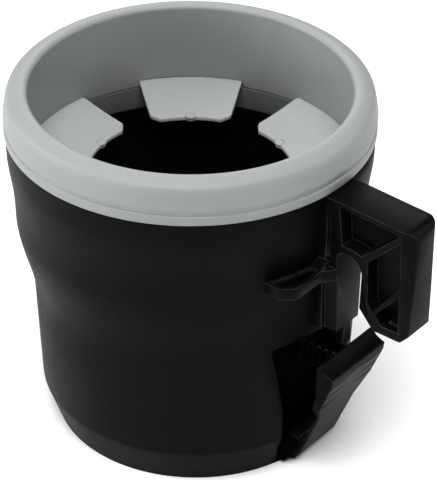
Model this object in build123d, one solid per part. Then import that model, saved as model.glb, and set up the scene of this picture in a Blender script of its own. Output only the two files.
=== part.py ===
from build123d import *
import math
import os

# Watercraft cup holder, millimetres, +Z up.
# The origin is on the axis of the mouth, in the plane that the base stands on.
# The hook points along +X.

# Rim ring
overall_height = 121.0
ring_radius = 60.2
ring_band = 14.4
ring_wall = 1.8
ring_crown = 3.8
ring_step = 0.35
ring_step_height = 3.2
lip_width = 8.2
skirt_depth = 31.6
skirt_wall = 1.4
rim_wall = 2.1
ring_fit = 0.1
ring_gap = 0.4

# Cup, outside: each radius is a step in from the one above it
neck_in = 0.7
flare_in = 1.2
shoulder_in = 1.0
waist_in = 3.7
foot_in = 1.6
base_in = 4.5
neck_drop = 5.2
flare_drop = 16.2
shoulder_drop = 5.0
waist_share = 0.645
foot_height = 13.0
foot_round = 4.0
lower_offset = 2.3
shoulder_steps = 6
cup_wall = 2.6
base_thickness = 3.0
drain_radius = 2.5
drain_circle = 22.0
drain_count = 4

# Grip insert
flap_count = 6
flap_phase = 9.6
flap_tip_radius = 33.5
flap_root_half = 17.5
flap_tip_half = 13.3
flap_corner = 3.0
flap_drop = 3.7
flap_thickness = 1.5
flap_root_depth = 3.3
flap_root_thickness = 3.0
flap_proud = 1.0
hoop_wall = 1.5
hoop_depth = 8.3
nub_radius = 2.2
nub_height = 0.7
soft_gap = 0.15

# Hook bracket: heights are drops below the neck's top, reaches are steps out from the neck
spine_depth = 5.0
throat_width = 9.1
throat_lean = 0.5
throat_drop = 17.7
throat_round = 5.5
hook_depth = 19.4
hook_half_width = 7.0
hook_corner = 5.0
hook_crown_round = 4.0
hook_fall = 1.2
hook_drop = 41.7
hook_draft = 1.5
hook_toe = 2.1
outer_flange = 5.2
top_flange = 1.5
inner_flange = 3.0
web_half = 1.5
brace = 1.5
lead_in = 4.2
lead_drop = 35.5
spine_drop = 49.5
spine_foot_half = 5.8
tongue_half = 1.9
tongue_length = 7.3
tongue_depth = 3.0
pad_half = 7.9
pad_depth = 4.6
side_groove = 1.3
seat_gap = 0.1
wing_half = 26.6
wing_in = 3.2
wing_corner = 3.6
wing_drop = 25.0
wing_thickness = 4.2
wing_rim = 1.2
wing_recess = 1.0
wing_gusset = 4.0

# Bracket screws
screw_radius = 1.45
screw_head_radius = 2.9
screw_head_height = 1.4
screw_length = 7.0
screw_sink = 0.15
screw_fit = 0.05
screw_drops = (9.2, 40.2)
screw_tip_gap = 0.5
cross_width = 0.7
cross_length = 3.2
boss_radius = 3.3

# Latch lever: heights are shares of the spine's foot, reaches are steps out from the cup's foot
lever_crest_share = 0.815
lever_lip_fall = 2.4
thumb_top_share = 0.66
thumb_low_share = 0.465
thumb_back_share = 0.74
thumb_foot_share = 0.585
lever_lip_out = 16.3
lever_crest_out = 10.1
lever_back_out = 8.9
thumb_foot_out = 6.7
lever_face_out = 0.1
lever_face_foot = 4.0
lever_toe_in = 2.3
lever_toe_height = 0.8
lever_wall = 1.6
lever_gap = 0.35
stem_half = 9.7
thumb_half = 14.1
lip_groove = 1.6
lip_width_top = 1.9
crest_round = 0.8
grip_rib_count = 3
grip_rib_pitch = 4.6
grip_rib_drop = 3.1
grip_rib_depth = 0.5
grip_rib_width = 0.8
plain_middle_radius = 100.0

# Hinge of the lever
pin_radius = 1.5
pin_in = 3.5
pin_z = 7.5
pin_fit = 0.05
pin_eye = 3.4
pin_closed_end = 1.2
heel_reach = 2.9
ear_thickness = 3.0
ear_radius = 3.2

# Pocket for the latch
pocket_depth = 9.8
pocket_bottom = 3.2
pocket_top_share = 0.912
pocket_knee_share = 0.43
ear_room = 1.8
ear_room_top = 0.7
thumb_room = 7.5
pocket_round = 1.7
pocket_wall = 2.2

# Lever spring
spring_radius = 3.6
spring_wire = 0.45
spring_height_share = 0.83
spring_turns = 6
spring_seat_depth = 1.6
spring_seat_gap = 0.25
spring_play = 0.1

mouth_radius = ring_radius - lip_width
rim_outer = ring_radius - ring_wall - ring_fit
rim_inner = rim_outer - rim_wall
skirt_outer = rim_inner - ring_fit
skirt_inner = skirt_outer - skirt_wall
ring_bottom = overall_height - ring_band
neck_top = ring_bottom - ring_gap
skirt_bottom = overall_height - skirt_depth
rim_top = overall_height - ring_crown
hoop_top = skirt_bottom - soft_gap
hoop_seat = hoop_top - hoop_depth
flap_top = skirt_bottom + flap_root_depth

neck_radius = ring_radius - neck_in
flare_radius = neck_radius - flare_in
shoulder_radius = flare_radius - shoulder_in
waist_radius = shoulder_radius - waist_in
foot_radius = waist_radius - foot_in
base_radius = foot_radius - base_in
neck_height = neck_top - neck_drop
flare_height = neck_top - flare_drop
shoulder_height = hoop_seat - shoulder_drop
waist_height = waist_share * shoulder_height

throat_face = neck_radius + spine_depth
throat_outer = throat_face + throat_width
throat_top = neck_top - throat_drop
hook_reach = throat_outer + hook_depth
hook_bottom = neck_top - hook_drop
lead_height = neck_top - lead_drop
spine_bottom = neck_top - spine_drop
tongue_bottom = spine_bottom - tongue_length
pad_reach = throat_face - pad_depth
wing_edge = throat_face - wing_in
wing_top = neck_top - wing_drop
screw_heights = [neck_top - drop for drop in screw_drops]

foot_reach = lower_offset + foot_radius
lever_crest_x = foot_reach + lever_crest_out
lever_crest_z = lever_crest_share * spine_bottom
lever_lip_x = foot_reach + lever_lip_out
lever_lip_z = lever_crest_z - lever_lip_fall
lever_back = foot_reach + lever_back_out
lever_face_x = foot_reach + lever_face_out
thumb_top = thumb_top_share * lever_crest_z
thumb_low = thumb_low_share * lever_crest_z
lever_run = lever_lip_x - lever_face_x
lever_rise = lever_lip_z - lever_face_foot
lever_slope = lever_run / lever_rise
lever_lean = math.degrees(math.atan(lever_slope))
pin_x = foot_reach - pin_in
heel_stop_x = pin_x - heel_reach
pin_end = stem_half + lever_gap + ear_thickness
pin_start = pin_closed_end - pin_end
spring_height = spring_height_share * lever_crest_z
spring_spigot = spring_radius - 2 * spring_wire - spring_seat_gap

pocket_back = foot_reach - pocket_depth
pocket_top = pocket_top_share * spine_bottom
pocket_knee = pocket_knee_share * spine_bottom
pocket_half_bottom = stem_half + lever_gap + ear_thickness + ear_room
pocket_half_knee = pocket_half_bottom + ear_room_top
pocket_half_top = thumb_half + thumb_room
UPRIGHT = (Align.CENTER, Align.CENTER, Align.MIN)


def wall_x(height):
    """How far the cup's outside reaches towards the hook at a height in its lower part or shoulder."""
    if height < waist_height:
        share = (height - foot_height) / (waist_height - foot_height)
        return lower_offset + foot_radius + (waist_radius - foot_radius) * share
    share = min(1.0, (height - waist_height) / (shoulder_height - waist_height))
    blend = share * share * (3 - 2 * share)
    return waist_radius + (shoulder_radius - waist_radius) * blend + lower_offset * (1 - blend)


def revolved(points, centre_x=0.0, rounds=()):
    """A solid of revolution about the vertical line through (centre_x, 0).

    Each of the rounds is (x, z, radius) for one corner of the outline.
    """
    face = make_face(Polyline(*[(x, 0, z) for x, z in points], close=True))
    for x, z, radius in rounds:
        corner = [v for v in face.vertices() if abs(v.X - x) + abs(v.Z - z) < 1e-6]
        face = fillet(corner, radius)
    return Pos(centre_x, 0, 0) * revolve(face, Axis.Z)


def side_profile(points, half_width, rounds=()):
    """A closed outline of (x, z) points, extruded to both sides of the centre plane."""
    face = make_face(Polyline(*[(x, 0, z) for x, z in points], close=True))
    for x, z, radius in rounds:
        corner = [v for v in face.vertices() if abs(v.X - x) + abs(v.Z - z) < 1e-6]
        face = fillet(corner, radius)
    return extrude(face, amount=half_width, dir=(0, 1, 0), both=True)


def front_profile(points, x_from, x_to, round_radius=0.0):
    """A closed outline of (y, z) points, extruded along X between two planes."""
    face = make_face(Polyline(*[(x_from, y, z) for y, z in points], close=True))
    if round_radius:
        face = fillet(face.vertices(), round_radius)
    return extrude(face, amount=x_to - x_from, dir=(1, 0, 0))


def bar_x(radius, x_from, x_to, y, z):
    """A round bar along X."""
    return Pos((x_from + x_to) / 2, y, z) * Rot(0, 90, 0) * Cylinder(radius, x_to - x_from)


def bar_y(radius, y_from, y_to, x, z):
    """A round bar along Y."""
    return Pos(x, (y_from + y_to) / 2, z) * Rot(90, 0, 0) * Cylinder(radius, y_to - y_from)


def cup_form(grow, bottom, top):
    """The cup's outer shape grown by an amount, between two heights.

    The lower part stands on its own axis, nearer the hook, and a shoulder leads up to the mouth's axis.
    """
    foot_slope = (foot_radius - base_radius) / foot_height
    low = [
        (0, bottom),
        (base_radius + grow + foot_slope * bottom, bottom),
        (foot_radius + grow, foot_height),
        (waist_radius + grow, waist_height),
        (0, waist_height),
    ]
    lower = revolved(low, lower_offset, [(foot_radius + grow, foot_height, foot_round)])
    rings = []
    for i in range(shoulder_steps + 1):
        share = i / shoulder_steps
        blend = share * share * (3 - 2 * share)
        height = waist_height + (shoulder_height - waist_height) * share
        radius = waist_radius + (shoulder_radius - waist_radius) * blend
        rings.append(Pos(lower_offset * (1 - blend), 0, height) * Circle(radius + grow))
    shoulder = loft(rings)
    neck_line = Spline(
        (shoulder_radius + grow, 0, shoulder_height),
        (flare_radius + grow, 0, flare_height),
        (neck_radius + grow, 0, neck_height),
        tangents=((0, 0, 1), (0, 0, 1)),
    )
    neck_rest = Polyline(
        (neck_radius + grow, 0, neck_height),
        (neck_radius + grow, 0, top),
        (0, 0, top),
        (0, 0, shoulder_height),
        (shoulder_radius + grow, 0, shoulder_height),
    )
    neck = revolve(make_face(neck_line + neck_rest), Axis.Z)
    return lower + shoulder + neck


def pocket_space(grow):
    """The latch's pocket, grown on all its sides, as a solid that runs out through the wall."""
    outline = [
        (-pocket_half_bottom - grow, pocket_bottom - grow),
        (pocket_half_bottom + grow, pocket_bottom - grow),
        (pocket_half_knee + grow, pocket_knee),
        (pocket_half_top + grow, pocket_top + grow),
        (-pocket_half_top - grow, pocket_top + grow),
        (-pocket_half_knee - grow, pocket_knee),
    ]
    return front_profile(outline, pocket_back - grow, lever_lip_x, pocket_round + grow)


def cup_body():
    """One moulding: the wall, the base, the boxed pocket for the latch and its two hinge ears."""
    outer = cup_form(0, 0, neck_top)
    cavity = cup_form(-cup_wall, base_thickness, neck_top)
    rim = Pos(0, 0, flare_height) * Cylinder(rim_outer, rim_top - flare_height, align=UPRIGHT)
    bore = Pos(0, 0, hoop_seat) * Cylinder(rim_inner, rim_top - hoop_seat, align=UPRIGHT)
    body = outer + rim - cavity - bore
    body += pocket_space(pocket_wall) & cup_form(-cup_wall / 2, base_thickness / 2, neck_top)
    body -= pocket_space(0)
    ear_root = Box(
        pin_x - pocket_back + pocket_wall / 2,
        ear_thickness,
        pin_z + ear_radius - pocket_bottom + base_thickness / 2,
        align=(Align.MAX, Align.CENTER, Align.MAX),
    )
    for side in (-1, 1):
        ear_y = side * (stem_half + lever_gap + ear_thickness / 2)
        body += Pos(pin_x, ear_y, pin_z + ear_radius) * ear_root
        body += bar_y(ear_radius, ear_y - ear_thickness / 2, ear_y + ear_thickness / 2, pin_x, pin_z)
    heel = Box(
        hook_reach,
        2 * (stem_half + lever_gap),
        2 * (pocket_bottom + lever_gap),
        align=(Align.MIN, Align.CENTER, Align.CENTER),
    )
    body -= Pos(heel_stop_x, 0, 0) * heel
    body -= bar_y(pin_radius, pin_start, hook_reach, pin_x, pin_z) & pocket_space(0)
    spigot_root = pocket_back - pocket_wall / 2
    body += bar_x(spring_spigot, spigot_root, pocket_back + spring_seat_depth, 0, spring_height)
    for height in screw_heights:
        seat_x = screw_seat(height)
        body -= bar_x(screw_radius + screw_fit, seat_x - 1, hook_reach, 0, height)
        body -= Pos(seat_x, 0, height) * Rot(0, 90, 0) * Cone(
            screw_head_radius + screw_fit,
            screw_radius + screw_fit,
            screw_head_height,
            align=UPRIGHT,
        )
    for i in range(drain_count):
        angle = math.radians(360 * (i + 0.5) / drain_count)
        spot = Pos(lower_offset + drain_circle * math.cos(angle), drain_circle * math.sin(angle), 0)
        body -= spot * Cylinder(drain_radius, 4 * base_thickness)
    return body


def screw_seat(height):
    """Where a screw's head sits: the inner wall at that height, a little below the surface."""
    if height > hoop_seat:
        return rim_inner + screw_sink
    return wall_x(height) - cup_wall + screw_sink


def rim_ring():
    """The hard collar: an outer band, a crown and a skirt with a notch for each flap."""
    bevel_low = (ring_radius - 1.7, overall_height - 1.7)
    bevel_high = (ring_radius - 4.7, overall_height - 0.2)
    outline = [
        (ring_radius - ring_wall, ring_bottom),
        (ring_radius - 0.2, ring_bottom),
        (ring_radius - 0.2, ring_bottom + ring_step_height),
        (ring_radius - 0.2 - ring_step, ring_bottom + ring_step_height + ring_step),
        (ring_radius, ring_bottom + ring_step_height + 2.2),
        (ring_radius - 0.9, overall_height - 3.5),
        bevel_low,
        bevel_high,
        (mouth_radius + 1.2, overall_height),
        (mouth_radius, overall_height - 0.9),
        (skirt_inner, skirt_bottom),
        (skirt_outer, skirt_bottom),
        (skirt_outer, rim_top),
        (ring_radius - ring_wall, rim_top),
    ]
    ring = revolved(outline, 0, [(*bevel_low, 1.2), (*bevel_high, 2.0)])
    notch = Box(
        ring_radius,
        2 * flap_root_half + 2 * soft_gap,
        2 * (flap_root_depth + soft_gap),
        align=(Align.MIN, Align.CENTER, Align.CENTER),
    )
    for i in range(flap_count):
        ring -= Rot(0, 0, flap_phase + 360 * i / flap_count) * Pos(0, 0, skirt_bottom) * notch
    return ring


def flap_plan():
    """A flap seen from above: it narrows from the root to two chamfered corners and a rounded tip."""
    tip_side = flap_tip_half - flap_corner
    tip_x = math.sqrt(flap_tip_radius ** 2 - tip_side ** 2)
    line = Polyline(
        (tip_x, tip_side, 0),
        (tip_x + flap_corner, flap_tip_half, 0),
        (skirt_inner, flap_root_half, 0),
        (2 * skirt_outer, flap_root_half, 0),
        (2 * skirt_outer, -flap_root_half, 0),
        (skirt_inner, -flap_root_half, 0),
        (tip_x + flap_corner, -flap_tip_half, 0),
        (tip_x, -tip_side, 0),
    )
    tip = ThreePointArc((tip_x, tip_side, 0), (flap_tip_radius, 0, 0), (tip_x, -tip_side, 0))
    return make_face(line + tip)


def grip_insert():
    """One soft moulding: a hoop under the skirt and the flaps that point inwards from it."""
    hoop_inner = skirt_outer - hoop_wall
    root = hoop_inner - flap_proud
    tip_z = flap_top - flap_drop
    inner_end = flap_tip_radius - flap_corner
    slope = flap_drop / (root - flap_tip_radius)
    end_z = tip_z - slope * flap_corner
    insert = revolved([
        (hoop_inner, hoop_seat),
        (skirt_outer, hoop_seat),
        (skirt_outer, flap_top),
        (root, flap_top),
        (inner_end, end_z),
        (inner_end, end_z - flap_thickness),
        (root, flap_top - flap_thickness),
        (root, flap_top - flap_root_thickness),
        (hoop_inner, flap_top - flap_root_thickness),
    ])
    above = Pos(0, 0, hoop_top) * Cylinder(2 * skirt_outer, flap_top, align=UPRIGHT)
    inside = Pos(0, 0, hoop_seat) * Cylinder(hoop_inner, flap_top, align=UPRIGHT)
    waste = above + inside
    window = Pos(0, 0, hoop_seat - 1) * extrude(flap_plan(), amount=flap_top, dir=(0, 0, 1))
    nub_x = flap_tip_radius - nub_height + nub_radius
    nub = Pos(nub_x, 0, hoop_seat - 1) * Cylinder(nub_radius, flap_top, align=UPRIGHT)
    for i in range(flap_count):
        turn = Rot(0, 0, flap_phase + 360 * i / flap_count)
        waste -= turn * window
        waste -= turn * nub
    return insert - waste


def bracket_side():
    """The bracket's outline from the side: top plate, outer flange, throat and spine."""
    toe_x = hook_reach - hook_draft
    return [
        (pocket_back, neck_top),
        (throat_face, neck_top),
        (hook_reach, neck_top - hook_fall),
        (toe_x, hook_bottom + hook_toe),
        (toe_x - hook_toe, hook_bottom),
        (throat_outer + lead_in + inner_flange / 2, hook_bottom),
        (throat_outer + lead_in, hook_bottom + inner_flange / 2),
        (throat_outer, lead_height),
        (throat_outer + throat_lean, throat_top),
        (throat_face, throat_top),
        (throat_face, spine_bottom),
        (pocket_back, spine_bottom),
    ]


def recess(points, floor_half):
    """A panel sunk into both sides of the bracket, down to a floor on either side of the middle."""
    panel = side_profile(points, hook_half_width + 1)
    floor = Box(4 * hook_reach, 2 * floor_half, 4 * hook_reach)
    return panel - floor


def hook_panels():
    """The three panels that leave the web and its two ribs between the flanges."""
    inner_x = throat_outer + inner_flange
    outer_x = hook_reach - outer_flange
    panel_top = neck_top - top_flange
    arch_top = throat_top + 0.8 * inner_flange
    upper = [
        (throat_face + 0.3, panel_top),
        (throat_face + 1.6, arch_top),
        (throat_face + 0.6 * throat_width, arch_top),
        (inner_x - 2 * brace, throat_top + brace),
        (outer_x - brace, panel_top - hook_fall - brace),
        (outer_x - brace, panel_top - hook_fall),
    ]
    middle = [
        (inner_x - 0.5, throat_top + 0.3 * brace),
        (outer_x, panel_top - 2.6 * brace),
        (outer_x + 0.5, lead_height + 0.4 * (panel_top - lead_height)),
        (inner_x + 2.0, lead_height + 0.5),
        (inner_x, lead_height + inner_flange),
    ]
    lower = [
        (inner_x + 3.0, lead_height),
        (outer_x + 0.5, lead_height + 0.4 * (panel_top - lead_height) - 2 * brace),
        (outer_x + 0.5, hook_bottom + inner_flange),
        (inner_x + 5.2, hook_bottom + inner_flange),
    ]
    stub = Box(3.6, 2 * hook_half_width - 1, 0.9, align=(Align.MAX, Align.CENTER, Align.CENTER))
    panels = recess(upper, web_half) + recess(middle, web_half) + recess(lower, web_half)
    return panels - Pos(outer_x + 0.5, 0, lead_height - 0.9) * stub


def wing_plate(inset, thickness):
    """The plate of both wings, or with an inset the space of its sunk top, reaching into the cup."""
    half = wing_half - inset
    edge = wing_edge - inset
    plan = make_face(
        Polyline(
            (pocket_back, -half, 0),
            (edge - wing_corner, -half, 0),
            (edge, -half + wing_corner, 0),
            (edge, half - wing_corner, 0),
            (edge - wing_corner, half, 0),
            (pocket_back, half, 0),
            close=True,
        )
    )
    return Pos(0, 0, wing_top - thickness) * extrude(plan, amount=thickness, dir=(0, 0, 1))


def wing_gussets():
    """The fillets that carry the wings into the sides and the front of the spine."""
    reach = hook_half_width + wing_gusset
    front = make_face(
        Polyline(
            (pocket_back, -reach, 0),
            (wing_edge, -reach, 0),
            (throat_face, -hook_half_width, 0),
            (throat_face, hook_half_width, 0),
            (wing_edge, reach, 0),
            (pocket_back, reach, 0),
            close=True,
        )
    )
    low = Pos(0, 0, wing_top - wing_thickness) * extrude(front, amount=wing_thickness, dir=(0, 0, 1))
    rise = [
        (-reach, wing_top),
        (reach, wing_top),
        (hook_half_width, wing_top + wing_gusset / 2),
        (-hook_half_width, wing_top + wing_gusset / 2),
    ]
    return low + front_profile(rise, pocket_back, wing_edge)


def hook_bracket():
    """One moulding with an I-section: hook, spine with its tongue, and two wings along the cup."""
    rounds = [
        (hook_reach, neck_top - hook_fall, hook_crown_round),
        (throat_outer + throat_lean, throat_top, throat_round),
        (throat_face, throat_top, throat_round / 2),
    ]
    side = side_profile(bracket_side(), hook_half_width, rounds)
    plan = Pos(hook_reach / 2, 0, 0) * RectangleRounded(hook_reach, 2 * hook_half_width, hook_corner)
    body = side & extrude(plan, amount=overall_height, dir=(0, 0, 1))
    body -= hook_panels()
    for side_sign in (-1, 1):
        taper = [
            (side_sign * spine_foot_half, spine_bottom - 1),
            (side_sign * hook_half_width, throat_top),
            (side_sign * 2 * hook_half_width, throat_top),
            (side_sign * 2 * hook_half_width, spine_bottom - 1),
        ]
        body -= front_profile(taper, pad_reach, throat_face + 1)
    pad_height = wing_top - spine_bottom - wing_thickness / 2
    pad = Box(pad_reach - pocket_back, 2 * pad_half, pad_height, align=(Align.MAX, Align.CENTER, Align.MIN))
    body += Pos(pad_reach, 0, spine_bottom) * pad
    groove_x = throat_face - spine_depth / 2
    body -= recess([
        (groove_x - spine_depth / 3, wing_top + wing_gusset),
        (groove_x, wing_top + wing_gusset),
        (groove_x, neck_top - 2 * top_flange),
        (groove_x - spine_depth / 3, neck_top - 2 * top_flange),
    ], hook_half_width - side_groove)
    out_and_up = (Align.MAX, Align.CENTER, Align.MIN)
    tongue = Box(tongue_depth, 2 * tongue_half, tongue_length + 1, align=out_and_up)
    body += Pos(throat_face, 0, tongue_bottom) * tongue
    for height in screw_heights:
        body += bar_x(boss_radius, pocket_back, throat_face - 1, 0, height)
    body += wing_plate(0, wing_thickness) + wing_gussets()
    body -= cup_form(seat_gap, 0, neck_top + 1)
    for height in screw_heights:
        tip_x = screw_seat(height) + screw_length + screw_tip_gap
        body -= bar_x(screw_radius + screw_fit, pocket_back, tip_x, 0, height)
    sunk = wing_plate(wing_rim, wing_recess) - cup_form(wing_rim, 0, neck_top + 1)
    sunk -= Box(4 * hook_reach, 2 * (hook_half_width + wing_gusset), 4 * hook_reach)
    return body - sunk


def bracket_screws():
    """Countersunk screws, driven from inside the cup into the bracket."""
    screws = []
    for height in screw_heights:
        seat_x = screw_seat(height)
        screw = bar_x(screw_radius, seat_x, seat_x + screw_length, 0, height)
        screw += Pos(seat_x, 0, height) * Rot(0, 90, 0) * Cone(
            screw_head_radius,
            screw_radius,
            screw_head_height,
            align=UPRIGHT,
        )
        drive = Pos(seat_x, 0, height) * Box(screw_head_height, cross_width, cross_length)
        cross = Pos(seat_x, 0, height) * Box(screw_head_height, cross_length, cross_width)
        screws.append(screw - drive - cross)
    return Compound(screws)


def lever_line(z):
    """The lever's outer face at a height."""
    return lever_face_x + lever_slope * (z - lever_face_foot)


def on_lever_face(z, depth=0.0):
    """The place and tilt of a point at a height on the lever's outer face, or a depth below it."""
    tilt = math.radians(lever_lean)
    x = lever_line(z) - depth * math.cos(tilt)
    return Pos(x, 0, z + depth * math.sin(tilt)) * Rot(0, lever_lean, 0)


def latch_lever():
    """One moulding: a wide thumb plate with a channel in its top, on a narrower stem with the hinge eye."""
    stem_depth = lever_wall * math.hypot(1, lever_slope)
    eye_top = pin_z + pin_eye
    stem_top = thumb_foot_share * lever_crest_z - lever_wall
    outline = [
        (lever_face_x - lever_toe_in, lever_toe_height),
        (lever_face_x, lever_face_foot),
        (lever_lip_x, lever_lip_z),
        (lever_lip_x - lip_width_top, lever_lip_z - lip_groove),
        (lever_crest_x + lip_width_top, lever_lip_z - lip_groove),
        (lever_crest_x, lever_crest_z),
        (lever_back, lever_crest_z - lever_lip_fall),
        (lever_back, thumb_back_share * lever_crest_z),
        (foot_reach + thumb_foot_out, thumb_foot_share * lever_crest_z),
        (lever_line(stem_top) - stem_depth, stem_top - lever_wall),
        (lever_line(eye_top) - stem_depth, eye_top),
        (heel_stop_x + lever_gap, pin_z),
        (heel_stop_x + lever_gap, lever_toe_height),
    ]
    lever = side_profile(outline, thumb_half, [(lever_crest_x, lever_crest_z, crest_round)])
    front = [
        (-stem_half, 0),
        (stem_half, 0),
        (stem_half, thumb_low),
        (thumb_half, thumb_top),
        (thumb_half, lever_crest_z + 1),
        (-thumb_half, lever_crest_z + 1),
        (-thumb_half, thumb_top),
        (-stem_half, thumb_low),
    ]
    lever &= front_profile(front, pocket_back, hook_reach)
    lever += bar_y(pin_eye, -stem_half, stem_half, pin_x, pin_z)
    lever -= bar_y(pin_radius + pin_fit, -thumb_half, thumb_half, pin_x, pin_z)
    plain_middle = Cylinder(plain_middle_radius, 4 * lever_lip_z)
    plain_middle = on_lever_face(lever_lip_z, plain_middle_radius) * plain_middle
    rib = Box(2 * grip_rib_depth, 3 * thumb_half, grip_rib_width)
    for i in range(grip_rib_count):
        z = lever_lip_z - grip_rib_drop - i * grip_rib_pitch
        lever -= on_lever_face(z) * rib - plain_middle
    lever += bar_x(spring_spigot, lever_back - spring_seat_depth, lever_back + 1, 0, spring_height)
    return lever


def hinge_pin():
    """A steel pin that is pressed in through one ear, up to the closed end of the other."""
    return bar_y(pin_radius, pin_start, pin_end, pin_x, pin_z)


def lever_spring():
    """A coil spring between the back of the pocket and the thumb plate."""
    start = pocket_back + spring_wire + spring_play
    end = lever_back - spring_wire - spring_play
    coil_radius = spring_radius - spring_wire
    pitch = (end - start) / spring_turns
    path = Pos(start, 0, spring_height) * Rot(0, 90, 0) * Helix(pitch, end - start, coil_radius)
    section = Plane(origin=path @ 0, z_dir=path % 0) * Circle(spring_wire)
    return sweep(section, path=path, is_frenet=True)


def write(name, solid):
    export_step(solid, os.path.join("parts", name + ".step"))


os.makedirs("parts", exist_ok=True)
write("cup_body", cup_body())
write("rim_ring", rim_ring())
write("grip_insert", grip_insert())
write("hook_bracket", hook_bracket())
write("bracket_screws", bracket_screws())
write("latch_lever", latch_lever())
write("hinge_pin", hinge_pin())
write("lever_spring", lever_spring())
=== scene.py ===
import math

import bmesh
import bpy
from mathutils import Matrix, Vector


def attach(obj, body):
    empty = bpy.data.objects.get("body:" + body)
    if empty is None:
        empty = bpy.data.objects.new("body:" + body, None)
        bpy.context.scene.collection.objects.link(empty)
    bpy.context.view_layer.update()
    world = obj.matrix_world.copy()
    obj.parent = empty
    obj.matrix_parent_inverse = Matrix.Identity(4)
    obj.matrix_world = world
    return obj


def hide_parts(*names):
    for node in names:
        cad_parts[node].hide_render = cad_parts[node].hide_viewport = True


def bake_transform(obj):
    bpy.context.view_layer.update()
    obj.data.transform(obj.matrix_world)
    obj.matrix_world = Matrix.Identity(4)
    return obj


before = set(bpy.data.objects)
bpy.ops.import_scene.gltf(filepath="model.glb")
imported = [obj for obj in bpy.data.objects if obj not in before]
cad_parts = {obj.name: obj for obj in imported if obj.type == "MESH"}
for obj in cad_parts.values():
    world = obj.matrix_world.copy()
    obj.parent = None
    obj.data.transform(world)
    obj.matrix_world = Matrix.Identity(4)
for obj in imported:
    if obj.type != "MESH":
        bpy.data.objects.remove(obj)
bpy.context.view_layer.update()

# The view.
# The camera stands in front and to the right of the hook's plane and looks down on the mouth.
# It is a long lens from about 0.8 m, measured from the ellipses of the rim and the base.
view_heading = math.radians(-38.43)
view_down = math.radians(34.12)
view_roll = math.radians(0.44)
view_distance = 0.8297
view_target = Vector((0.00708, 0.00597, 0.05955))
frame_pixels = (437, 488)
focal_pixels = 2500
sensor_width = 36

look = Vector((
    math.sin(view_heading) * math.cos(view_down),
    math.cos(view_heading) * math.cos(view_down),
    -math.sin(view_down),
))
level_right = Vector((math.cos(view_heading), -math.sin(view_heading), 0))
level_up = level_right.cross(look)
right = level_right * math.cos(view_roll) + level_up * math.sin(view_roll)
up = level_up * math.cos(view_roll) - level_right * math.sin(view_roll)
camera_data = bpy.data.cameras.new("camera")
camera_data.sensor_width = sensor_width
camera_data.lens = focal_pixels * sensor_width / max(frame_pixels)
camera = bpy.data.objects.new("camera", camera_data)
turned = Matrix((right, up, -look)).transposed().to_4x4()
camera.matrix_world = Matrix.Translation(view_target - look * view_distance) @ turned
bpy.context.scene.collection.objects.link(camera)
bpy.context.scene.camera = camera

# The studio.
# A white sweep in a dark room, with soft boxes round and over it. The strongest are on the left
# and above the camera, and the front is dark, so the black wall fades to its middle.
sky_strength = 0.02
floor_size = 6.0
floor_tone = 0.9
floor_roughness = 0.9
object_middle = Vector((0, 0, 0.06))
soft_boxes = (
    ("left_box", (-0.845, -0.684, 0.567), 0.8, 15.8),
    ("front_box", (0.384, -0.474, 1.208), 0.8, 18.9),
    ("top_box", (-0.029, 0.035, 1.359), 1.2, 6.9),
    ("back_box", (-0.709, 0.875, 0.710), 0.8, 5.3),
    ("far_right_box", (0.796, 0.668, 0.660), 0.8, 5.3),
)

world = bpy.data.worlds.new("studio_sky")
world.use_nodes = True
world.node_tree.nodes["Background"].inputs["Color"].default_value = (1, 1, 1, 1)
world.node_tree.nodes["Background"].inputs["Strength"].default_value = sky_strength
bpy.context.scene.world = world
bpy.context.scene.view_settings.view_transform = "Standard"

for name, place, size, power in soft_boxes:
    box_data = bpy.data.lights.new(name, "AREA")
    box_data.shape = "SQUARE"
    box_data.size = size
    box_data.energy = power
    box = bpy.data.objects.new(name, box_data)
    box.location = place
    box.rotation_euler = (object_middle - box.location).to_track_quat("-Z", "Y").to_euler()
    bpy.context.scene.collection.objects.link(box)

floor_mesh = bmesh.new()
bmesh.ops.create_grid(floor_mesh, x_segments=1, y_segments=1, size=floor_size / 2)
floor_data = bpy.data.meshes.new("floor")
floor_mesh.to_mesh(floor_data)
floor_mesh.free()
floor = bpy.data.objects.new("floor", floor_data)
bpy.context.scene.collection.objects.link(floor)
floor_paint = bpy.data.materials.new("floor_paint")
floor_paint.use_nodes = True
floor_shader = floor_paint.node_tree.nodes["Principled BSDF"]
floor_shader.inputs["Base Color"].default_value = (floor_tone, floor_tone, floor_tone, 1)
floor_shader.inputs["Roughness"].default_value = floor_roughness
floor_data.materials.append(floor_paint)

# Cup body.
# The real piece is one black polypropylene moulding with a fine satin grain, open at the top.
# Its round wall steps in over an offset lower part. A boxed pocket in its foot takes the latch.
body_colour = ((0.001, 0.001, 0.0011), (0.0018, 0.0018, 0.002))
# The lighter corner colour is part wear, part painted edge highlight.
body_worn_highlight = (0.012, 0.012, 0.012)
body_roughness = (0.44, 0.54)
# Painted shade: the darker black inside the pocket stands in for the shadow there.
pocket_shade_colour = ((0.0005, 0.0005, 0.0005), (0.0009, 0.0009, 0.0009))
mottling_scale = 35
# The lower body stands round its own axis, and each level is (height, outer radius).
lower_axis = 0.0023
wall_levels = ((0, 0.0475), (0.013, 0.052), (0.049, 0.0536), (0.06, 0.0547))
# The inside of the pocket and the hinge ears in it are painted darker as shade, and made duller.
pocket_middle = Vector((0.055, 0, 0.03))
pocket_half = 0.0225
pocket_top = 0.0525
pocket_back = 0.043
pocket_front_radius = 0.051
ear_half = 0.0145
ear_top = 0.017
ear_back = 0.0445
# The pocket's mouth in the wall: (half width, height) from its sill up, then its rounded edge.
mouth_outline = ((0.01485, 0.0032), (0.01555, 0.0244), (0.0216, 0.0517))
mouth_corner = 0.0017
mouth_round = 0.0016
mouth_angles = (20, 35, 50, 65)
bead_overlap = 0.0003
bead_clearance = 0.0004
bead_draft = 0.00008
bead_flare = 1.15
bead_cuts = 11
corner_length = 0.003
bead_start = 0.0015
bead_start_share = 0.05
bead_run_in = 0.006


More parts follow.
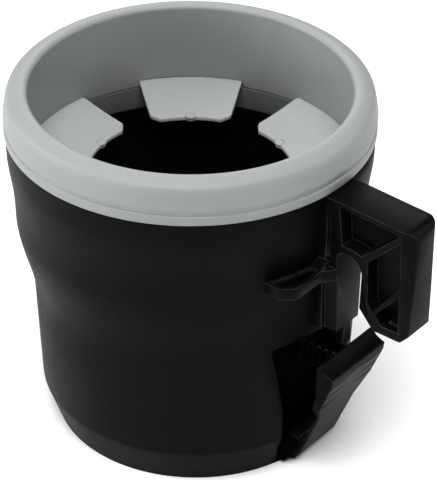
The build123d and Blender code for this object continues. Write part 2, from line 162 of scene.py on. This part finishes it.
def new_effect(name, inputs, outputs):
    """A node group for an effect that several materials share, with its two end nodes."""
    group = bpy.data.node_groups.new(name, "ShaderNodeTree")
    for socket, kind in inputs:
        group.interface.new_socket(socket, in_out="INPUT", socket_type=kind)
    for socket, kind in outputs:
        group.interface.new_socket(socket, in_out="OUTPUT", socket_type=kind)
    return group, group.nodes.new("NodeGroupInput"), group.nodes.new("NodeGroupOutput")


# Spark-eroded tool steel leaves an even grain, and the melt leaves faint flow mottling.
mould_texture, given, result = new_effect(
    "mould_texture",
    [
        ("Vector", "NodeSocketVector"),
        ("Grain Scale", "NodeSocketFloat"),
        ("Flow Scale", "NodeSocketFloat"),
    ],
    [("Grain", "NodeSocketFloat"), ("Flow", "NodeSocketFloat")],
)
grain = mould_texture.nodes.new("ShaderNodeTexNoise")
grain.inputs["Detail"].default_value = 3
grain.inputs["Roughness"].default_value = 0.6
flow = mould_texture.nodes.new("ShaderNodeTexNoise")
flow.inputs["Detail"].default_value = 4
flow.inputs["Distortion"].default_value = 0.6
for texture, scale, value in ((grain, "Grain Scale", "Grain"), (flow, "Flow Scale", "Flow")):
    mould_texture.links.new(given.outputs["Vector"], texture.inputs["Vector"])
    mould_texture.links.new(given.outputs[scale], texture.inputs["Scale"])
    mould_texture.links.new(texture.outputs["Fac"], result.inputs[value])

# Hands, cups and the panel edge polish the moulding's corners in uneven patches; the lighter
# colour there is also a painted highlight along the edges.
edge_wear_and_highlight, given, result = new_effect(
    "edge_wear_and_highlight",
    [("Vector", "NodeSocketVector"), ("Radius", "NodeSocketFloat")],
    [("Normal", "NodeSocketVector"), ("Worn Highlight", "NodeSocketFloat")],
)
rounding = edge_wear_and_highlight.nodes.new("ShaderNodeBevel")
rounding.samples = 4
edge_wear_and_highlight.links.new(given.outputs["Radius"], rounding.inputs["Radius"])
face_way = edge_wear_and_highlight.nodes.new("ShaderNodeNewGeometry")
agreement = edge_wear_and_highlight.nodes.new("ShaderNodeVectorMath")
agreement.operation = "DOT_PRODUCT"
edge_wear_and_highlight.links.new(rounding.outputs["Normal"], agreement.inputs[0])
edge_wear_and_highlight.links.new(face_way.outputs["Normal"], agreement.inputs[1])
corner = edge_wear_and_highlight.nodes.new("ShaderNodeMapRange")
corner.inputs["From Min"].default_value = 0.995
corner.inputs["From Max"].default_value = 0.85
edge_wear_and_highlight.links.new(agreement.outputs["Value"], corner.inputs["Value"])
patches = edge_wear_and_highlight.nodes.new("ShaderNodeTexNoise")
patches.inputs["Scale"].default_value = 160
patches.inputs["Detail"].default_value = 5
edge_wear_and_highlight.links.new(given.outputs["Vector"], patches.inputs["Vector"])
uneven = edge_wear_and_highlight.nodes.new("ShaderNodeMapRange")
uneven.inputs["From Min"].default_value = 0.35
uneven.inputs["From Max"].default_value = 0.65
edge_wear_and_highlight.links.new(patches.outputs["Fac"], uneven.inputs["Value"])
worn_highlit_edges = edge_wear_and_highlight.nodes.new("ShaderNodeMath")
worn_highlit_edges.operation = "MULTIPLY"
edge_wear_and_highlight.links.new(corner.outputs["Result"], worn_highlit_edges.inputs[0])
edge_wear_and_highlight.links.new(uneven.outputs["Result"], worn_highlit_edges.inputs[1])
edge_wear_and_highlight.links.new(rounding.outputs["Normal"], result.inputs["Normal"])
edge_wear_and_highlight.links.new(worn_highlit_edges.outputs["Value"], result.inputs["Worn Highlight"])


def moulded(
    name, colour, worn_highlight_colour, roughness, specular, grain_scale, grain_depth, edge_radius
):
    """A moulded plastic or rubber. Its colour and roughness vary between two ends."""
    material = bpy.data.materials.new(name)
    material.use_nodes = True
    nodes, links = material.node_tree.nodes, material.node_tree.links
    shader = nodes["Principled BSDF"]
    shader.inputs["Specular IOR Level"].default_value = specular
    place = nodes.new("ShaderNodeTexCoord")
    texture = nodes.new("ShaderNodeGroup")
    texture.node_tree = mould_texture
    texture.inputs["Grain Scale"].default_value = grain_scale
    texture.inputs["Flow Scale"].default_value = mottling_scale
    links.new(place.outputs["Object"], texture.inputs["Vector"])
    edge_lightening = nodes.new("ShaderNodeGroup")
    edge_lightening.node_tree = edge_wear_and_highlight
    edge_lightening.inputs["Radius"].default_value = edge_radius
    links.new(place.outputs["Object"], edge_lightening.inputs["Vector"])
    shade = nodes.new("ShaderNodeMix")
    shade.data_type = "RGBA"
    shade.inputs[6].default_value = (*colour[0], 1)
    shade.inputs[7].default_value = (*colour[1], 1)
    links.new(texture.outputs["Flow"], shade.inputs[0])
    # Corners take a lighter colour: part wear, part painted edge highlight.
    worn_highlit = nodes.new("ShaderNodeMix")
    worn_highlit.data_type = "RGBA"
    worn_highlit.inputs[7].default_value = (*worn_highlight_colour, 1)
    links.new(edge_lightening.outputs["Worn Highlight"], worn_highlit.inputs[0])
    links.new(shade.outputs[2], worn_highlit.inputs[6])
    links.new(worn_highlit.outputs[2], shader.inputs["Base Color"])
    gloss = nodes.new("ShaderNodeMapRange")
    gloss.inputs["From Min"].default_value = 0.3
    gloss.inputs["From Max"].default_value = 0.7
    gloss.inputs["To Min"].default_value = roughness[0]
    gloss.inputs["To Max"].default_value = roughness[1]
    links.new(texture.outputs["Flow"], gloss.inputs["Value"])
    links.new(gloss.outputs["Result"], shader.inputs["Roughness"])
    bump = nodes.new("ShaderNodeBump")
    bump.inputs["Strength"].default_value = 0.5
    bump.inputs["Distance"].default_value = grain_depth
    links.new(texture.outputs["Grain"], bump.inputs["Height"])
    links.new(edge_lightening.outputs["Normal"], bump.inputs["Normal"])
    links.new(bump.outputs["Normal"], shader.inputs["Normal"])
    return material


def whole_faces(node, flat_angle):
    """A copy of the node's solid with its doubles merged and its flat faces made whole."""
    mesh = bmesh.new()
    mesh.from_mesh(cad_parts[node].data)
    bmesh.ops.remove_doubles(mesh, verts=mesh.verts, dist=1e-6)
    bmesh.ops.dissolve_limit(
        mesh,
        angle_limit=math.radians(flat_angle),
        use_dissolve_boundaries=False,
        verts=mesh.verts,
        edges=mesh.edges,
    )
    return mesh


def finish_piece(name, mesh, materials, body, node, sharp_angle=30):
    """Puts a mesh in the scene at the origin, in the place of its node."""
    data = bpy.data.meshes.new(name)
    mesh.to_mesh(data)
    mesh.free()
    for material in materials:
        data.materials.append(material)
    for face in data.polygons:
        face.use_smooth = True
    data.set_sharp_from_angle(angle=math.radians(sharp_angle))
    piece = bpy.data.objects.new(name, data)
    bpy.context.scene.collection.objects.link(piece)
    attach(piece, body)
    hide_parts(node)


# The pocket's mouth is rounded: a bead that follows the wall, up one side, across and down the
# other, is cut out of its edge. Each bead point is (out from the mouth, down from the wall).
bead_section = [
    (-bead_overlap, -bead_clearance),
    (-bead_overlap, mouth_round),
    (-bead_draft, mouth_round),
]
for opening in mouth_angles:
    out = mouth_round * (1 - math.cos(math.radians(opening)))
    down = mouth_round * (1 - math.sin(math.radians(opening)))
    bead_section.append((out, down))
bead_section.append((mouth_round * bead_flare, -bead_clearance))
path = bmesh.new()
side = [path.verts.new((0, y, z)) for y, z in mouth_outline]
other_side = [path.verts.new((0, -y, z)) for y, z in reversed(mouth_outline)]
path.faces.new(side + other_side)
bmesh.ops.bevel(
    path,
    geom=[side[2], other_side[0]],
    offset=mouth_corner,
    offset_type="OFFSET",
    segments=6,
    profile=0.5,
    affect="VERTICES",
    material=-1,
    clamp_overlap=True,
)
long_sides = [edge for edge in path.edges if edge.calc_length() > corner_length]
bmesh.ops.subdivide_edges(path, edges=long_sides, cuts=bead_cuts, use_grid_fill=False)
path.faces.ensure_lookup_table()
rim = [loop.vert.co.yz for loop in path.faces[0].loops]
rim = [spot for spot in rim if spot.y > mouth_outline[0][1] + bead_start]
start = max(range(len(rim)), key=lambda count: (rim[count] - rim[count - 1]).length)
rim = rim[start:] + rim[:start]
path.free()
bead = bmesh.new()
places = [Vector((0, out, down)) for out, down in bead_section]
section = bead.faces.new([bead.verts.new(place) for place in places])
for count, spot in enumerate(rim):
    along = rim[min(count + 1, len(rim) - 1)] - rim[max(count - 1, 0)]
    outward = Vector((along.y, -along.x)).normalized()
    if outward.dot(spot - pocket_middle.yz) < 0:
        outward = -outward
    share = min(1, bead_start_share + (spot.y - mouth_outline[0][1]) / bead_run_in)
    if count:
        grown = bmesh.ops.extrude_face_region(bead, geom=[section], use_keep_orig=True)
        if count > 1:
            bmesh.ops.delete(bead, geom=[section], context="FACES_ONLY")
        section = next(part for part in grown["geom"] if isinstance(part, bmesh.types.BMFace))
    held = [min(section.verts, key=lambda vert: (vert.co - place).length) for place in places]
    for corner, (out, down) in zip(held, bead_section):
        y, z = spot + outward * out * share
        for (low_z, low_radius), (high_z, high_radius) in zip(wall_levels, wall_levels[1:]):
            if low_z <= z <= high_z:
                radius = low_radius + (high_radius - low_radius) * (z - low_z) / (high_z - low_z)
        corner.co = (lower_axis + math.sqrt(radius ** 2 - y ** 2) - down * share, y, z)
    places = [corner.co.copy() for corner in held]
bmesh.ops.recalc_face_normals(bead, faces=bead.faces)


def cut_out(mesh, cutter):
    """Takes the cutter's space out of the mesh and gives the rest."""
    parts = []
    for name, part in (("whole", mesh), ("cutter", cutter)):
        data = bpy.data.meshes.new(name)
        part.to_mesh(data)
        part.free()
        parts.append(bpy.data.objects.new(name, data))
        bpy.context.scene.collection.objects.link(parts[-1])
    boolean = parts[0].modifiers.new("cut", "BOOLEAN")
    boolean.operation = "DIFFERENCE"
    boolean.solver = "EXACT"
    boolean.object = parts[1]
    shown = parts[0].evaluated_get(bpy.context.evaluated_depsgraph_get())
    rest = bmesh.new()
    rest.from_mesh(shown.data)
    for part in parts:
        data = part.data
        bpy.data.objects.remove(part)
        bpy.data.meshes.remove(data)
    return rest


body_mesh = cut_out(whole_faces("cup_body", flat_angle=0.05), bead)
# Faces inside the pocket and on the ears get the pocket's painted shade.
for face in body_mesh.faces:
    middle = face.calc_center_median()
    in_wall = (middle - Vector((lower_axis, 0, 0))).xy.length > pocket_front_radius
    beside = abs(middle.y) > pocket_half or middle.z > pocket_top or middle.x < pocket_back
    faces_in = face.normal.dot(pocket_middle - middle) > 0
    on_ear = middle.z < ear_top and abs(middle.y) < ear_half and middle.x > ear_back
    if on_ear or (faces_in and not in_wall and not beside):
        face.material_index = 1
body_black = moulded(
    "cup_black",
    colour=body_colour,
    worn_highlight_colour=body_worn_highlight,
    roughness=body_roughness,
    specular=0.042,
    grain_scale=1300,
    grain_depth=0.00035,
    edge_radius=0.0005,
)
# Painted shade for the pocket, its ears, the wings' dish floors and the lever's groove floors.
pocket_painted_shade = moulded(
    "pocket_painted_shade",
    colour=pocket_shade_colour,
    worn_highlight_colour=pocket_shade_colour[1],
    roughness=(0.6, 0.7),
    specular=0.008,
    grain_scale=2600,
    grain_depth=0.00004,
    edge_radius=0.0004,
)
finish_piece(
    "cup_body_moulding",
    body_mesh,
    materials=[body_black, pocket_painted_shade],
    body="holder",
    node="cup_body",
)

# Rim ring.
# The real piece is a hard light grey collar, injection moulded, snapped over the cup's rim.
# Its crown is bevelled outside and rounded over the mouth. Its skirt hangs down inside the cup.
ring_colour = ((0.218, 0.231, 0.225), (0.238, 0.251, 0.245))
# The lighter corner colour is part wear, part painted edge highlight.
ring_worn_highlight = (0.30, 0.315, 0.308)
# Each corner of the outline is (radius, height) and its rounding, in mm.
ring_profile = [
    ((58.4, 106.6), 0.3),
    ((60.05, 106.6), 0.4),
    ((60.05, 109.75), 0.08),
    ((59.7, 109.85), 0.05),
    ((59.75, 110.2), 0.05),
    ((60.2, 112.0), 0.6),
    ((59.3, 117.5), 0.6),
    ((58.5, 119.3), 0.7),
    ((55.5, 120.8), 1.6),
    ((53.2, 121.0), 1.0),
    ((52.0, 120.1), 0.7),
    ((54.7, 89.4), 0.35),
    ((56.1, 89.4), 0.35),
    ((56.1, 117.2), 0.2),
    ((58.4, 117.2), 0.2),
]
ring_steps = 180
skirt_end = 0.0894
skirt_edge = 0.0899
skirt_top = 0.1
notch_half = 0.01765
notch_side = 0.0003
notch_top = 0.0918
flap_count = 6
flap_pitch = 2 * math.pi / flap_count
flap_phase = math.radians(9.2)


def turned_profile(profile, steps):
    """Rounds the corners of a closed outline and spins it round Z."""
    mesh = bmesh.new()
    corners = [mesh.verts.new((r / 1000, 0, z / 1000)) for (r, z), _ in profile]
    mesh.faces.new(corners)
    for corner, (_, radius) in zip(corners, profile):
        bmesh.ops.bevel(
            mesh,
            geom=[corner],
            offset=radius / 1000,
            offset_type="OFFSET",
            segments=4,
            profile=0.5,
            affect="VERTICES",
            material=-1,
            clamp_overlap=True,
        )
    outline = mesh.edges[:]
    bmesh.ops.delete(mesh, geom=mesh.faces[:], context="FACES_ONLY")
    bmesh.ops.spin(
        mesh,
        geom=outline,
        cent=(0, 0, 0),
        axis=(0, 0, 1),
        angle=2 * math.pi,
        steps=steps,
        use_merge=True,
    )
    bmesh.ops.remove_doubles(mesh, verts=mesh.verts, dist=1e-7)
    bmesh.ops.recalc_face_normals(mesh, faces=mesh.faces)
    return mesh


# A notch over each flap: the skirt is cut at its sides, and its edge between them is lifted.
ring_mesh = turned_profile(ring_profile, ring_steps)
for count in range(flap_count // 2):
    heading = flap_phase + count * flap_pitch
    across = Vector((-math.sin(heading), math.cos(heading), 0))
    for offset in (-notch_half - notch_side, -notch_half, notch_half, notch_half + notch_side):
        skirt = [face for face in ring_mesh.faces if face.calc_center_median().z < skirt_top]
        parts = set(skirt)
        for face in skirt:
            parts.update(face.edges)
            parts.update(face.verts)
        bmesh.ops.bisect_plane(
            ring_mesh,
            geom=list(parts),
            dist=1e-7,
            plane_co=across * offset,
            plane_no=across,
        )
for vert in ring_mesh.verts:
    if vert.co.z > skirt_edge:
        continue
    heading = math.atan2(vert.co.y, vert.co.x) - flap_phase
    beside = math.remainder(heading, flap_pitch)
    if abs(math.sin(beside) * vert.co.xy.length) < notch_half + 1e-6:
        vert.co.z += notch_top - skirt_end
ring_grey = moulded(
    "ring_grey",
    colour=ring_colour,
    worn_highlight_colour=ring_worn_highlight,
    roughness=(0.42, 0.52),
    specular=0.22,
    grain_scale=2200,
    grain_depth=0.00002,
    edge_radius=0.0004,
)
finish_piece(
    "rim_ring_moulding",
    ring_mesh,
    materials=[ring_grey],
    body="holder",
    node="rim_ring",
)

# Grip insert.
# The real piece is one moulding of soft grey rubber: a hoop clamped under the ring's skirt.
# Six flaps point inwards and a little down from it, and give way when a cup goes in.
insert_colour = ((0.265, 0.278, 0.272), (0.29, 0.304, 0.298))
# The lighter corner colour is part wear, part painted edge highlight.
insert_worn_highlight = (0.33, 0.345, 0.338)
# The hoop is the same grey rubber as the flaps; its colour is painted dark as the shadow under
# the skirt.
hoop_shade_colour = ((0.06, 0.063, 0.062), (0.075, 0.078, 0.077))
# The hoop's outline is given like the ring's.
hoop_profile = [
    ((54.6, 80.95), 0.5),
    ((56.1, 80.95), 0.3),
    ((56.1, 89.25), 0.2),
    ((54.6, 89.25), 0.4),
]
hoop_steps = 120
# Each flap slopes down from its root to its tip, gets wider outwards, and is bedded in the hoop.
flap_tip = 0.0335
flap_root = 0.0536
flap_widest = 0.0547
flap_end = 0.0560
flap_bedded = 0.0537
flap_top = 0.0917
flap_foot = 0.0889
flap_drop = 0.0030
flap_thickness = 0.0015
flap_tip_half = 0.0129
flap_root_half = 0.0175
flap_corner = 0.0029
flap_edge = 0.0004
flap_sag = 0.00035
sag_in_middle = 0.4
# Each flap has a small nub in the middle of its tip, with a flat bead on it.
nub_radius = 0.0022
nub_height = 0.0007
nub_fade = 0.1
bead_radius = 0.0020
bead_shape = (0.85, 1, 0.5)
bead_from_tip = 0.0006
bead_below_top = 0.0001
# The lines of a flap's mesh, as shares of its half width and of its length.
half_lines = (0, 0.05, 0.09, 0.13, 0.18, 0.3, 0.45, 0.6, 0.75, 0.88, 0.96, 1)
across_lines = [-line for line in half_lines[:0:-1]] + list(half_lines)
radial_lines = (0, 0.03, 0.06, 0.1, 0.15, 0.22, 0.35, 0.5, 0.65, 0.78, 0.86, 0.89, 0.92, 0.96, 1)


def soften(mesh, radius, corner_angle=35, segments=2, wanted=None):
    """Rounds the edges that turn by more than an angle, all of them or those that are wanted."""
    edges = [
        edge
        for edge in mesh.edges
        if len(edge.link_faces) == 2
        and edge.calc_face_angle(0) > math.radians(corner_angle)
        and (wanted is None or wanted(edge))
    ]
    bmesh.ops.bevel(
        mesh,
        geom=edges,
        offset=radius,
        offset_type="OFFSET",
        segments=segments,
        profile=0.5,
        affect="EDGES",
        material=-1,
        clamp_overlap=True,
    )


insert_mesh = turned_profile(hoop_profile, hoop_steps)
# The hoop's faces take the second material, its painted shade.
for face in insert_mesh.faces:
    face.material_index = 1
flap_mesh = bmesh.new()
bmesh.ops.create_grid(
    flap_mesh,
    x_segments=len(radial_lines) - 1,
    y_segments=len(across_lines) - 1,
    size=1,
)
for vert in flap_mesh.verts:
    row = radial_lines[round((vert.co.x + 1) / 2 * (len(radial_lines) - 1))]
    line = across_lines[round((vert.co.y + 1) / 2 * (len(across_lines) - 1))]
    reach = flap_tip + (flap_end - flap_tip) * row
    widening = (reach - flap_tip) / (flap_widest - flap_tip)
    half = flap_tip_half + (flap_root_half - flap_tip_half) * widening
    if reach < flap_tip + flap_corner:
        half -= flap_corner * (1 - (reach - flap_tip) / flap_corner)
    side = half * line
    if abs(side) < nub_radius:
        nub = math.sqrt(nub_radius ** 2 - side ** 2) - nub_radius + nub_height
        reach -= max(nub, 0) * max(0, 1 - row / nub_fade)
    slope = min(reach - flap_root, 0) / (flap_root - flap_tip)
    bow = math.sin(math.pi * min(max(-slope, 0), 1))
    sag = flap_sag * bow * (sag_in_middle + (1 - sag_in_middle) * line ** 2)
    vert.co = (math.sqrt(reach ** 2 - side ** 2), side, flap_top + flap_drop * slope - sag)
lower = bmesh.ops.extrude_face_region(flap_mesh, geom=flap_mesh.faces[:], use_keep_orig=True)
for vert in lower["geom"]:
    if isinstance(vert, bmesh.types.BMVert):
        bedded = vert.co.xy.length > flap_bedded
        vert.co.z = flap_foot if bedded else vert.co.z - flap_thickness
bmesh.ops.recalc_face_normals(flap_mesh, faces=flap_mesh.faces)
soften(flap_mesh, flap_edge, corner_angle=50, segments=3)
ball = bmesh.ops.create_uvsphere(flap_mesh, u_segments=20, v_segments=12, radius=bead_radius)
bmesh.ops.scale(flap_mesh, verts=ball["verts"], vec=bead_shape)
bead_place = (flap_tip + bead_from_tip, 0, flap_top - flap_drop - bead_below_top)
bmesh.ops.translate(flap_mesh, verts=ball["verts"], vec=bead_place)
flap_data = bpy.data.meshes.new("flap")
flap_mesh.to_mesh(flap_data)
flap_mesh.free()
flap_data.transform(Matrix.Rotation(flap_phase, 4, "Z"))
for count in range(flap_count):
    insert_mesh.from_mesh(flap_data)
    flap_data.transform(Matrix.Rotation(flap_pitch, 4, "Z"))
bpy.data.meshes.remove(flap_data)
insert_grey = moulded(
    "insert_grey",
    colour=insert_colour,
    worn_highlight_colour=insert_worn_highlight,
    roughness=(0.62, 0.75),
    specular=0.3,
    grain_scale=1500,
    grain_depth=0.00003,
    edge_radius=0.0004,
)
# Painted shade: the hoop's darker colour stands in for the shadow it sits in.
hoop_painted_shade = moulded(
    "hoop_painted_shade",
    colour=hoop_shade_colour,
    worn_highlight_colour=hoop_shade_colour[1],
    roughness=(0.7, 0.8),
    specular=0.2,
    grain_scale=1500,
    grain_depth=0.00003,
    edge_radius=0.0004,
)
finish_piece(
    "grip_insert_moulding",
    insert_mesh,
    materials=[insert_grey, hoop_painted_shade],
    body="holder",
    node="grip_insert",
)

# Hook bracket.
# The real piece is one moulding of glass-filled black nylon with an I-section and thin ribs.
# Screws from inside the cup hold its spine to the wall, and its corners are rounded a little.
bracket_colour = ((0.0015, 0.0015, 0.0015), (0.0025, 0.0025, 0.0025))
# The lighter corner colour is part wear, part painted edge highlight.
bracket_worn_highlight = (0.05, 0.05, 0.05)
bracket_edge = 0.0004
wing_start = 0.016
wing_corner = 0.0016
wing_corner_height = 0.003
dish_floor = 0.0802


def is_wing_corner(edge):
    """Whether the edge is an upright one at the outer end of a wing."""
    start, end = edge.verts
    on_wing = min(abs(start.co.y), abs(end.co.y)) > wing_start
    return on_wing and start.co.xy == end.co.xy and edge.calc_length() > wing_corner_height


bracket_mesh = whole_faces("hook_bracket", flat_angle=1)
soften(bracket_mesh, wing_corner, segments=5, wanted=is_wing_corner)
soften(bracket_mesh, bracket_edge)
# The floor of the dish in each wing gets the pocket's painted shade, a darker colour for the
# shade in the recess.
for face in bracket_mesh.faces:
    if face.normal.z > 0.9 and abs(face.calc_center_median().z - dish_floor) < 1e-4:
        face.material_index = 1
bracket_black = moulded(
    "bracket_black",
    colour=bracket_colour,
    worn_highlight_colour=bracket_worn_highlight,
    roughness=(0.34, 0.46),
    specular=0.04,
    grain_scale=1900,
    grain_depth=0.00003,
    edge_radius=0.0006,
)
finish_piece(
    "hook_bracket_moulding",
    bracket_mesh,
    materials=[bracket_black, pocket_painted_shade],
    body="holder",
    node="hook_bracket",
)

# Latch lever.
# The real piece is one black acetal moulding: a wide thumb plate on a narrower stem with the
# hinge eye. It turns on the pin, and its crest catches under the panel edge.
lever_colour = ((0.0015, 0.0015, 0.0015), (0.0025, 0.0025, 0.0025))
# The lighter corner colour is part wear, part painted edge highlight.
lever_worn_highlight = (0.06, 0.06, 0.06)
lever_edge = 0.0004
# The channel behind the lip is shallow and the lip is set in: (x, z) before and after.
lip_moves = (
    ((0.0663, 0.04221), (0.0667, 0.0451)),
    ((0.0687, 0.04221), (0.0686, 0.0442)),
    ((0.0706, 0.04381), (0.0699, 0.0439)),
)
# The crest behind the channel is raised as a whole.
crest_foot = 0.0437
crest_front = 0.0652
crest_rise = 0.0020
# The edges round the two sides of plate and stem are rounded more than those along the plate.
side_round = 0.0007
side_start = 0.0065
side_lean = 0.8
long_edge = 0.02
# Three grooves run in from each end of the plate, and their floors get the pocket's painted
# shade.
groove_middles = ((0.06887, 0.0409), (0.067, 0.0363), (0.06513, 0.0317))
groove_half = 0.00055
groove_inner_end = 0.0075


def is_side_edge(edge):
    """Whether the edge is one round a side, and doesn't run from side to side."""
    start, end = edge.verts
    outside = min(abs(start.co.y), abs(end.co.y)) > side_start
    return outside and abs(start.co.y - end.co.y) < side_lean * edge.calc_length()


def is_long_edge(edge):
    """Whether the edge runs along the plate."""
    return edge.calc_length() > long_edge


lever_mesh = whole_faces("latch_lever", flat_angle=1)
for vert in lever_mesh.verts:
    for (x, z), (new_x, new_z) in lip_moves:
        if abs(vert.co.x - x) < 1e-4 and abs(vert.co.z - z) < 1e-4:
            vert.co.x, vert.co.z = new_x, new_z
            break
    else:
        if vert.co.z > crest_foot and vert.co.x < crest_front:
            vert.co.z += crest_rise
soften(lever_mesh, side_round, segments=3, wanted=is_side_edge)
soften(lever_mesh, lever_edge, segments=3, wanted=is_long_edge)
# The groove floors take the second material, painted shade.
for face in lever_mesh.faces:
    middle = face.calc_center_median()
    for x, z in groove_middles:
        near = math.hypot(middle.x - x, middle.z - z) < groove_half
        if near and abs(middle.y) > groove_inner_end:
            face.material_index = 1
lever_black = moulded(
    "lever_black",
    colour=lever_colour,
    worn_highlight_colour=lever_worn_highlight,
    roughness=(0.34, 0.46),
    specular=0.03,
    grain_scale=2300,
    grain_depth=0.00002,
    edge_radius=0.0007,
)
finish_piece(
    "latch_lever_moulding",
    lever_mesh,
    materials=[lever_black, pocket_painted_shade],
    body="latch",
    node="latch_lever",
)

# Steel parts.
# The real hinge pin is turned from stainless bar and pressed in through the ears and the eye.
# The two screws are stainless with crossed drives, and hold the bracket from inside the cup.
steel_colour = ((0.5, 0.5, 0.5), (0.6, 0.6, 0.6))
tarnish_scale = 220
streak_depth = 0.00002


def drawn_steel(name, colour, roughness, streak_scale, metallic, specular):
    """Drawn or turned steel. Its colour and roughness vary between two ends."""
    material = bpy.data.materials.new(name)
    material.use_nodes = True
    nodes, links = material.node_tree.nodes, material.node_tree.links
    shader = nodes["Principled BSDF"]
    shader.inputs["Metallic"].default_value = metallic
    shader.inputs["Specular IOR Level"].default_value = specular
    place = nodes.new("ShaderNodeTexCoord")
    texture = nodes.new("ShaderNodeGroup")
    texture.node_tree = mould_texture
    texture.inputs["Grain Scale"].default_value = streak_scale
    texture.inputs["Flow Scale"].default_value = tarnish_scale
    links.new(place.outputs["Object"], texture.inputs["Vector"])
    shade = nodes.new("ShaderNodeMix")
    shade.data_type = "RGBA"
    shade.inputs[6].default_value = (*colour[0], 1)
    shade.inputs[7].default_value = (*colour[1], 1)
    links.new(texture.outputs["Flow"], shade.inputs[0])
    links.new(shade.outputs[2], shader.inputs["Base Color"])
    gloss = nodes.new("ShaderNodeMapRange")
    gloss.inputs["To Min"].default_value = roughness[0]
    gloss.inputs["To Max"].default_value = roughness[1]
    links.new(texture.outputs["Grain"], gloss.inputs["Value"])
    links.new(gloss.outputs["Result"], shader.inputs["Roughness"])
    bump = nodes.new("ShaderNodeBump")
    bump.inputs["Strength"].default_value = 0.3
    bump.inputs["Distance"].default_value = streak_depth
    links.new(texture.outputs["Grain"], bump.inputs["Height"])
    links.new(bump.outputs["Normal"], shader.inputs["Normal"])
    return material


bright_steel = drawn_steel(
    "bright_steel",
    colour=steel_colour,
    roughness=(0.25, 0.45),
    streak_scale=2600,
    metallic=1,
    specular=0.5,
)
for node in ("bracket_screws", "hinge_pin"):
    for material_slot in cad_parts[node].material_slots:
        material_slot.material = bright_steel

# Lever spring.
# The real spring is wound from drawn wire. Its colour is painted near black as shade, since it
# sits deep in the pocket.
# One end sits on the cup and the other on the lever, so it shortens as the lever goes in.
# Painted shade: the wire's near-black colour stands in for the pocket's shadow.
wire_shade_colour = ((0.0006, 0.0006, 0.0006), (0.0014, 0.0014, 0.0014))
wire_painted_shade = drawn_steel(
    "wire_painted_shade",
    colour=wire_shade_colour,
    roughness=(0.4, 0.6),
    streak_scale=3200,
    metallic=0,
    specular=0.012,
)
coil_mesh = bmesh.new()
coil_mesh.from_mesh(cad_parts["lever_spring"].data)
bmesh.ops.remove_doubles(coil_mesh, verts=coil_mesh.verts, dist=1e-6)
coil_data = bpy.data.meshes.new("lever_spring_coil")
coil_mesh.to_mesh(coil_data)
coil_mesh.free()
coil_data.materials.append(wire_painted_shade)
for face in coil_data.polygons:
    face.use_smooth = True
coil = bpy.data.objects.new("lever_spring_coil", coil_data)
bpy.context.scene.collection.objects.link(coil)
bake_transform(coil)
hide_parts("lever_spring")
